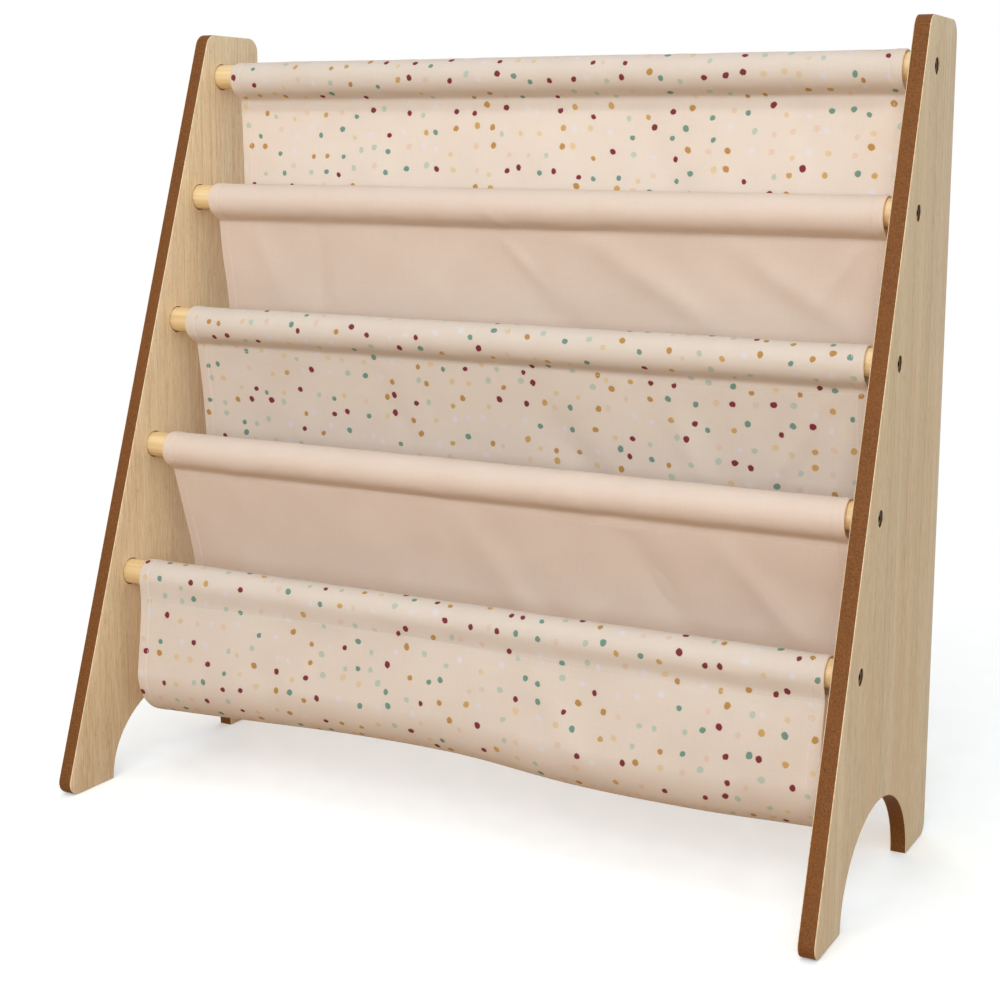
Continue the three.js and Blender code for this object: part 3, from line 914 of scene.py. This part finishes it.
def rear_layer(index, place):
    """The front wall of the pocket above; the top and lowest cloths have a short hem instead."""
    start = layer_start(index, place, 1)
    if index in (0, LOWEST):
        return [tuple(start), (start[0] + LAYER_SPREAD, start[1] - HEM_TAIL)]
    trough = trough_line(index - 1, place, -1)
    spread = start + (np.array(trough[0]) - start) / SPREAD_PARTS
    spread[0] += LAYER_SPREAD
    return wall_line(start, spread, trough[0], 0) + trough


def casing_line(index, place):
    """Round the dowel, from the front side of the stitching over the top to its back side."""
    y, z = AXES[index]
    centre = np.array([y, z - CASING_SLACK])
    stem = stem_of(index, place)
    angles = []
    for way in (-1, 1):
        to_stem = stem + np.array([way * LAYER_OFFSET, 0]) - centre
        reach = math.hypot(*to_stem)
        angle = math.atan2(to_stem[1], to_stem[0]) % (2 * math.pi)
        angles.append(angle + way * math.acos(CASING_RADIUS / reach))
    start, end = angles[0], angles[1] - 2 * math.pi
    line = [tuple(stem - np.array([LAYER_OFFSET, 0]))]
    for k in range(CASING_STEPS + 1):
        angle = start + (end - start) * k / CASING_STEPS
        line.append((
            centre[0] + CASING_RADIUS * math.cos(angle),
            centre[1] + CASING_RADIUS * math.sin(angle),
        ))
    line.append(tuple(stem + np.array([LAYER_OFFSET, 0])))
    return line


def arc_lengths(line):
    """How far along a line each of its points is."""
    steps = np.linalg.norm(np.diff(line, axis=0), axis=1)
    return np.concatenate([[0], np.cumsum(steps)])


def at_lengths(line, lengths):
    """The points of a line at the given lengths along it."""
    along = arc_lengths(line)
    return np.stack([np.interp(lengths, along, line[:, k]) for k in range(2)], axis=1)


def directions(line):
    """The unit vectors along a line, one at each point."""
    ways = np.gradient(line, axis=0)
    return ways / np.linalg.norm(ways, axis=1)[:, None]


def section(index, place):
    """The whole path of one cloth, evened out and smoothed, and its two stitch places along it."""
    front = np.array(front_layer(index, place))[::-1]
    casing = np.array(casing_line(index, place))
    rear = np.array(rear_layer(index, place))
    line = np.concatenate([front, casing, rear])
    along = arc_lengths(line)
    total = along[-1]
    marks = np.array([
        along[len(front) - 1] + STITCH_BAND / 2,
        along[len(front) + len(casing)] - STITCH_BAND / 2,
    ])
    count = round(total / PATH_STEP)
    line = at_lengths(line, np.linspace(0, total, count + 1))
    for _ in range(SMOOTHING_PASSES):
        line[1:-1] = (line[:-2] + 2 * line[1:-1] + line[2:]) / 4
    return line, marks / total


def row_places(line):
    """Places from 0 to 1 along a path, closer together where it bends."""
    bend = np.linalg.norm(np.gradient(directions(line), axis=0), axis=1) / PATH_STEP
    weight = 1 + BEND_WEIGHT * np.minimum(bend * BEND_RADIUS, 1)
    padded = np.pad(weight, WEIGHT_SPAN // 2, mode="edge")
    weight = np.convolve(padded, np.ones(WEIGHT_SPAN) / WEIGHT_SPAN, mode="valid")
    total = np.concatenate([[0], np.cumsum(weight)])
    total /= total[-1]
    return np.interp(np.linspace(0, 1, ROWS), total, np.linspace(0, 1, len(total)))


def column_places(low, high):
    """Places across a cloth, closer together in its hems."""
    edge = np.array([e * MM for e in EDGE_COLUMNS])
    inner_low, inner_high = low + edge[-1], high - edge[-1]
    count = round((inner_high - inner_low) / COLUMN_STEP)
    inner = np.linspace(inner_low, inner_high, count + 1)[1:-1]
    return np.concatenate([low + edge, inner, (high - edge)[::-1]])


# Folds of the cloths


def smooth(value, low, high):
    """0 below low, 1 above high and a smooth step between them."""
    t = np.clip((value - low) / (high - low), 0, 1)
    return t * t * (3 - 2 * t)


def noise_at(*place):
    return noise.noise(Vector(place))


def folds(x, s, seed, rows):
    """The sum of folds at a place across and along a cloth, in millimetres."""
    return sum(
        noise_at(x * across + s * skew, s * along, seed + own_seed) * height
        for across, skew, along, own_seed, height in rows
    )


def fade(from_stitching, from_end, spans):
    """0 at the stitching and at a layer's lower end, and 1 away from both."""
    return smooth(from_stitching, *spans[0]) * smooth(from_end, *spans[1])


def layer_height(sling, x, s, seed):
    """Folds of the front layer, the casing and the rear layer."""
    front, rear = sling.stitching
    if s < front:
        return folds(x, s, seed, WALL_FOLDS) * fade(front - s, s, WALL_FADES) * MM
    if s > rear:
        return folds(x, s, seed, REAR_FOLDS) * fade(s - rear, sling.length - s, REAR_FADES) * MM
    slack = max(folds(x, s, seed, CASING_FOLDS), CASING_LOWEST) + CASING_LIFT
    sides = smooth(min(s - front, rear - s), *CASING_FADE)
    return slack * sides * MM


def crease_height(index, x, drop):
    """The height of a cloth's creases at a place and a drop below its front stitching."""
    height = 0.0
    for across, down, lean, half_length, half_width, peak in CREASES[index]:
        turn = math.radians(lean)
        dx, dz = x - across * MM, drop - down * MM
        along = (dz * math.cos(turn) - dx * math.sin(turn)) / (half_length * MM)
        aside = (dx * math.cos(turn) + dz * math.sin(turn)) / (half_width * MM)
        aside += CREASE_WANDER * noise_at(along, across * MM, index)
        height += peak * MM * math.exp(-along * along - aside * aside)
    return height


def seam_height(x, to_stitch, seed):
    """Puckers beside a casing's stitching, and the groove that its thread pulls in."""
    pucker = sum(noise_at(x * turns, seed, level) * share for turns, level, share in PUCKERS)
    held = PUCKER_HELD_SHARE if to_stitch < PUCKER_HELD_REACH else 1
    groove = to_stitch / GROOVE_WIDTH
    raised = pucker * PUCKER_HEIGHT * math.exp(-to_stitch / PUCKER_REACH) * held
    return raised - GROOVE_DEPTH * math.exp(-groove * groove)


def hem_height(x, edge, s, seed):
    """The groove of a side hem's thread, gathers beside it and the doubled cloth."""
    off = edge - HEM_STITCH_INSET
    groove = off / HEM_GROOVE_WIDTH
    gather = noise_at(s * GATHER_TURNS[0], x * GATHER_TURNS[1], seed + GATHER_SEED)
    raised = gather * GATHER_HEIGHT * math.exp(-abs(off) / GATHER_REACH)
    ridge = HEM_RIDGE * (1 - smooth(edge, *HEM_RIDGE_EDGES))
    return raised + ridge - HEM_GROOVE_DEPTH * math.exp(-groove * groove)


def fold_height(sling, x, edge, s):
    """How far the cloth stands off its path, at s along it and edge from its nearer side."""
    front, rear = sling.stitching
    to_stitch = min(abs(s - front), abs(s - rear))
    seed = SEED_STEP * sling.index
    height = layer_height(sling, x, s, seed)
    if s < rear:
        height += crease_height(sling.index, x, front - s) * fade(to_stitch, s, CREASE_FADES)
    return height + seam_height(x, to_stitch, seed) + hem_height(x, edge, s, seed)


def side_sway(index, x, edge, s):
    """How far a side of the cloth wanders along X, less and less towards its middle."""
    left_level, right_level = SWAY_LEVELS
    level = left_level if x < 0 else right_level
    sway = noise_at(s * SWAY_TURNS, SWAY_SEED_STEP * index, level) * SIDE_SWAY
    return sway * (1 - smooth(edge, 0, SWAY_REACH))


class Sling:
    """One cloth as two grids of points: its face, its reverse, and the way each point faces."""

    def __init__(self, index):
        self.index = index
        low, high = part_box(f"sling_cloth_{index + 1}")
        self.left, self.right = low.x, high.x
        self.columns = column_places(low.x, high.x)
        middle, self.marks = section(index, 0.5)
        self.length = float(arc_lengths(middle)[-1])
        self.stitching = self.marks * self.length
        self.rows = row_places(middle)
        self.face = np.zeros((len(self.columns), ROWS, 3))
        self.reverse = np.zeros_like(self.face)
        self.facing = np.zeros_like(self.face)
        for column in range(len(self.columns)):
            self.lay(column)

    def lay(self, column):
        """Places one column of points along the path that the cloth has there."""
        x = self.columns[column]
        line, _ = section(self.index, (x - self.left) / (self.right - self.left))
        path = at_lengths(line, self.rows * arc_lengths(line)[-1])
        ways = directions(path)
        normals = np.stack([-ways[:, 1], ways[:, 0]], axis=1)
        edge = min(x - self.left, self.right - x)
        in_hem = 1 - smooth(edge, HEM_WIDTH - HEM_FADE, HEM_WIDTH + HEM_FADE)
        thickness = CLOTH * (1 + HEM_EXTRA_SHARE * in_hem)
        for row in range(ROWS):
            s = self.rows[row] * self.length
            height = fold_height(self, x, edge, s)
            swayed = x + side_sway(self.index, x, edge, s)
            out = path[row] + normals[row] * (height + CLOTH / 2)
            self.face[column, row] = (swayed, *out)
            self.reverse[column, row] = (swayed, *(out - normals[row] * thickness))
            self.facing[column, row] = (0, *normals[row])


# The cloths' meshes


def side_edge(sling, column, way):
    """Lines of points that round a side edge, from the cloth's face to its reverse."""
    middle = (sling.face[column] + sling.reverse[column]) / 2
    half = (sling.face[column] - sling.reverse[column]) / 2
    outward = np.linalg.norm(half, axis=1)[:, None] * np.array([way, 0, 0])
    turns = [math.radians(angle) for angle in EDGE_ANGLES]
    return [middle + half * math.cos(turn) + outward * math.sin(turn) for turn in turns]


def ring_lines(sling):
    """The lines of points round a cloth, each with its place across and its side, 0 to 1."""
    columns = list(enumerate(sling.columns))
    first, last = columns[0], columns[-1]
    ring = [(sling.face[c], x, 0.0) for c, x in columns]
    ring += [(line, last[1], 0.5) for line in side_edge(sling, last[0], 1)]
    ring += [(sling.reverse[c], x, 1.0) for c, x in reversed(columns)]
    ring += [(line, first[1], 0.5) for line in reversed(side_edge(sling, first[0], -1))]
    return ring


def ring_faces(columns, around):
    """Faces between the rows of points, and those that close the cloth's two ends."""
    faces = []
    for row in range(ROWS - 1):
        one, two = row * around, (row + 1) * around
        for k in range(around):
            after = (k + 1) % around
            faces.append((one + k, one + after, two + after, two + k))
    reverse_start = around - 1 - len(EDGE_ANGLES)
    closing = [(k, reverse_start - k, reverse_start - k - 1, k + 1) for k in range(columns - 1)]
    closing.append(tuple(range(columns - 1, columns + 1 + len(EDGE_ANGLES))))
    closing.append((*range(reverse_start, around), 0))
    end = (ROWS - 1) * around
    return faces + closing + [tuple(end + k for k in face) for face in closing]


def cloth_mesh(sling, name):
    """A closed thin sheet: face, reverse, and rounded side edges."""
    points, across, sides = zip(*ring_lines(sling))
    around = len(points)
    vertices = np.array(points).transpose(1, 0, 2).reshape(-1, 3)
    mesh = point_mesh(name, vertices, ring_faces(len(sling.columns), around))
    values = np.zeros((ROWS, around, 3), np.float32)
    values[:, :, 0] = across
    values[:, :, 1] = (sling.rows * sling.length + PRINT_SHIFT * sling.index)[:, None]
    values[:, :, 2] = sides
    place = mesh.attributes.new("cloth_place", "FLOAT_VECTOR", "POINT")
    place.data.foreach_set("vector", values.reshape(-1))
    bm = bmesh.new()
    bm.from_mesh(mesh)
    bmesh.ops.recalc_face_normals(bm, faces=bm.faces)
    bm.to_mesh(mesh)
    bm.free()
    shade_smooth(mesh, "cloth")
    return mesh


def vector_at(along, values, length):
    """The values of a line of points, read at a length along it."""
    return Vector([np.interp(length, along, values[:, k]) for k in range(3)])


class Stitches:
    """Short lengths of thread lying on the cloth, gathered into one mesh."""

    def __init__(self):
        self.vertices = []
        self.faces = []

    def add(self, start, end, facing):
        along = (end - start).normalized()
        across = along.cross(facing).normalized()
        up = across.cross(along)
        base = len(self.vertices)
        for share, lift, size in STITCH_RINGS:
            middle = start.lerp(end, share) + up * THREAD_RADIUS * lift
            for k in range(THREAD_SIDES):
                angle = 2 * math.pi * k / THREAD_SIDES
                reach = across * math.cos(angle) + up * math.sin(angle)
                self.vertices.append(middle + reach * THREAD_RADIUS * size)
        last = base + (len(STITCH_RINGS) - 1) * THREAD_SIDES
        for ring in range(base, last, THREAD_SIDES):
            for k in range(THREAD_SIDES):
                one, two = ring + k, ring + (k + 1) % THREAD_SIDES
                self.faces.append((one, two, two + THREAD_SIDES, one + THREAD_SIDES))
        self.faces.append(tuple(range(base, base + THREAD_SIDES))[::-1])
        self.faces.append(tuple(range(last, last + THREAD_SIDES)))

    def follow(self, points, facings):
        """A row of stitches along a line of points."""
        along = arc_lengths(points)
        start = STITCH_PITCH
        while start + STITCH_LENGTH < along[-1]:
            one = vector_at(along, points, start)
            two = vector_at(along, points, start + STITCH_LENGTH)
            self.add(one, two, vector_at(along, facings, start + STITCH_LENGTH / 2))
            start += STITCH_PITCH

    def mesh(self, name):
        mesh = point_mesh(name, self.vertices, self.faces)
        shade_smooth(mesh, "thread")
        return mesh


def nearest(places, target):
    return int(np.argmin(abs(places - target)))


def sling_stitches(sling):
    """Both hems' stitches, on the face and the reverse, and those of the casing's two seams."""
    stitches = Stitches()
    for target in (sling.left + HEM_STITCH_INSET, sling.right - HEM_STITCH_INSET):
        column = nearest(sling.columns, target)
        stitches.follow(sling.face[column], sling.facing[column])
        stitches.follow(sling.reverse[column], -sling.facing[column])
    for mark in sling.marks:
        row = nearest(sling.rows, mark)
        stitches.follow(sling.face[:, row], sling.facing[:, row])
    return stitches


def add_cloth(index, slot, material, thread_material):
    sling = Sling(index)
    name = f"cloth_{index + 1}"
    piece = link(name, cloth_mesh(sling, name))
    dress(piece, slot, material, f"sling_cloth_{index + 1}")
    seam_name = f"stitching_{index + 1}"
    seams = link(seam_name, sling_stitches(sling).mesh(seam_name))
    dress(seams, slot, thread_material)


# Room, light and camera


def floor_material():
    """Pale, with the rack's shadow, and white further out; the light it gives back is warm."""
    s = new_material("pale_floor")
    place = s.place()
    pale = s.tint(paint(FLOOR_PALE), s.noise(place, *FLOOR_GRAIN), *FLOOR_SHADE)
    lit = s.surface("BsdfDiffuse", Color=pale)
    lift = s.surface("Emission", Color=WHITE, Strength=FLOOR_LIFT)
    near = s.add("AddShader", {0: lit, 1: lift}).outputs[0]
    white = s.surface("Emission", Color=WHITE, Strength=1.0)
    far = s.steps(s.vector("LENGTH", place), *FLOOR_FADE)
    bounce = s.surface("BsdfDiffuse", Color=paint(FLOOR_BOUNCE))
    return s.finish(s.blend(s.seen(), bounce, s.blend(far, near, white)))


def add_floor():
    corners = [(-1, -1), (1, -1), (1, 1), (-1, 1)]
    places = [(x * FLOOR_HALF, y * FLOOR_HALF, -FLOOR_DROP) for x, y in corners]
    floor = link("floor", point_mesh("floor", places, [(0, 1, 2, 3)]))
    set_material(floor, floor_material())


def add_world():
    """Cool even light from all sides; what looks past the rack sees white."""
    s = Shader(bpy.data.worlds.new("room"))
    light = s.surface("Background", Color=paint(ROOM_LIGHT), Strength=ROOM_STRENGTH)
    white = s.surface("Background", Color=WHITE, Strength=1.0)
    bpy.context.scene.world = s.finish(s.blend(s.seen(), light, white), "World")


def add_lamp(name, place, target, side, power, code):
    lamp = bpy.data.lights.new(name, "AREA")
    lamp.shape = "SQUARE"
    lamp.size = side
    lamp.energy = power
    lamp.color = paint(code)[:3]
    holder = link(name, lamp)
    holder.location = place
    way = Vector(target) - Vector(place)
    holder.rotation_euler = way.to_track_quat("-Z", "Y").to_euler()


def add_camera():
    """Turned left from +Y by the yaw, then tipped and rolled."""
    data = bpy.data.cameras.new("camera")
    data.sensor_width = SENSOR_WIDTH
    data.lens = CAMERA_LENS
    data.shift_y = CAMERA_SHIFT
    camera = link("camera", data)
    yaw = Matrix.Rotation(CAMERA_YAW, 4, "Z")
    upright = Matrix.Rotation(math.pi / 2 + CAMERA_PITCH, 4, "X")
    roll = Matrix.Rotation(CAMERA_ROLL, 4, "Z")
    camera.matrix_world = Matrix.Translation(CAMERA_PLACE) @ yaw @ upright @ roll
    bpy.context.scene.camera = camera


add_camera()
add_floor()
add_world()
for lamp_row in LAMPS:
    add_lamp(*lamp_row)

board = veneered_board()
pine = lacquered_pine()
bolt_steel = plated_metal("bolt_steel", *BOLT_METAL)
insert_metal = plated_metal("insert_metal", *INSERT_METAL)
cloth_kinds = [
    ("printed_cloth", dotted_cloth(), thread("cream_thread", CREAM_THREAD)),
    ("plain_cloth", plain_cloth(), thread("peach_thread", PEACH_THREAD)),
]

for panel_side, panel_way in (("right", 1), ("left", -1)):
    add_panel(panel_side, panel_way, board)
    for number in range(COUNT):
        add_bolt(number, panel_side, panel_way, bolt_steel)
        set_material(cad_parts[f"insert_{panel_side}_{number + 1}"], insert_metal)
for number in range(COUNT):
    add_dowel(number, pine)
    add_cloth(number, *cloth_kinds[number % len(cloth_kinds)])

bpy.context.scene.view_settings.view_transform = "Standard"
